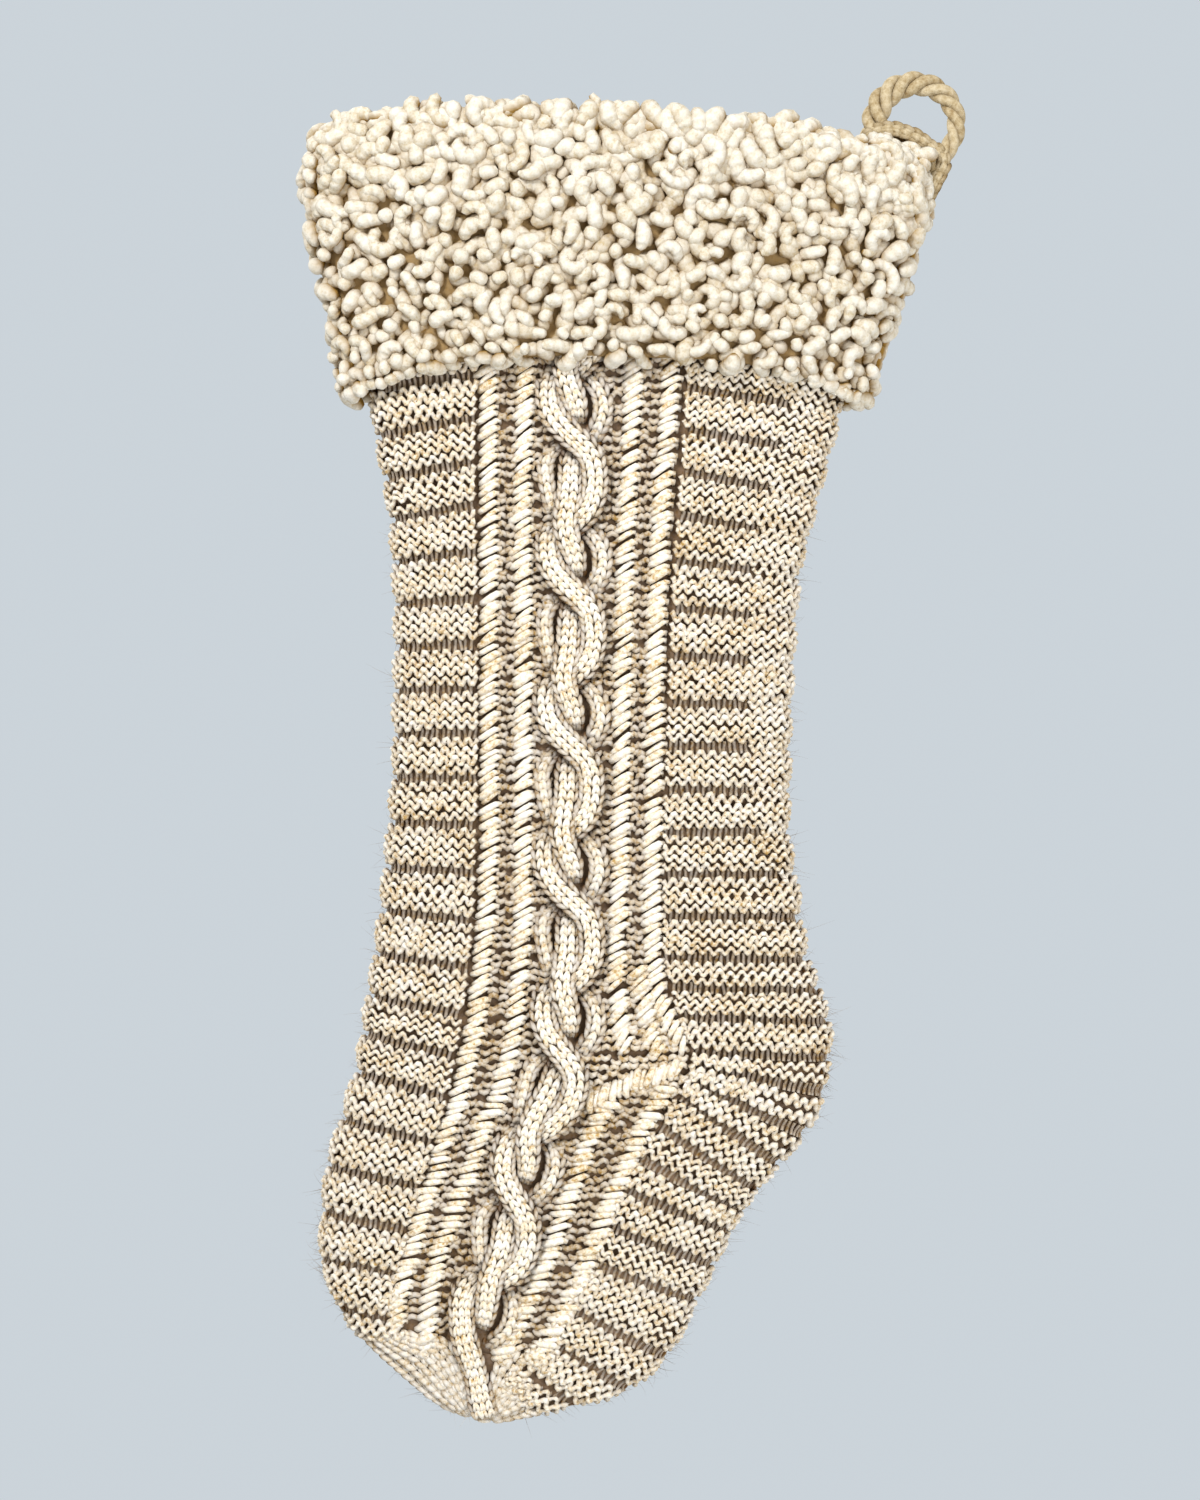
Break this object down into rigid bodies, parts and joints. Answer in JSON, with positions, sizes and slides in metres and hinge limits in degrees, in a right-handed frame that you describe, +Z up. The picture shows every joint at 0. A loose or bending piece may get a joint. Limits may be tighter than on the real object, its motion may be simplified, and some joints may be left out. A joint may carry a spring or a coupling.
{
  "type": "hanging christmas stocking",
  "caption": "Hand-knitted wool stocking with a cabled front, welted sides, turned-down boucle cuff and a corded hanging loop.",
  "frame": {"origin": "the point inside the top of the hanging loop that bears on a hook", "axes": "+Z up along the hanging stocking; the cabled front faces -Y; the toe points down and towards -X; the heel and the loop are on the +X side"},
  "size_m": [0.2686, 0.0522, 0.5489],
  "materials": {
    "oatmeal_wool": "heathered aran-weight wool, hand knitted",
    "cream_boucle": "thick-and-thin looped boucle wool",
    "tan_cord": "plied and twisted wool cord"
  },
  "bodies": {
    "hanger": {"hanging_loop": "tan_cord"},
    "stocking": {"front_panel": "oatmeal_wool", "back_panel": "oatmeal_wool", "heel_cup": "oatmeal_wool", "sole_panel": "oatmeal_wool", "toe_cap": "oatmeal_wool", "toe_closing_stitch": "oatmeal_wool", "instep_seam": "oatmeal_wool", "calf_seam": "oatmeal_wool", "cuff_joining_yarn": "oatmeal_wool", "cuff": "cream_boucle", "cuff_seam": "cream_boucle", "loop_stitch_top": "tan_cord", "loop_stitch_side": "tan_cord"}
  },
  "joints": [
    {"name": "loop_swing", "type": "hinge", "parent": "hanger", "child": "stocking", "pos_m": [-0.0164, 0, -0.0144], "axis": [0.8944, 0, -0.4472], "range_deg": [-70, 70]}
  ]
}
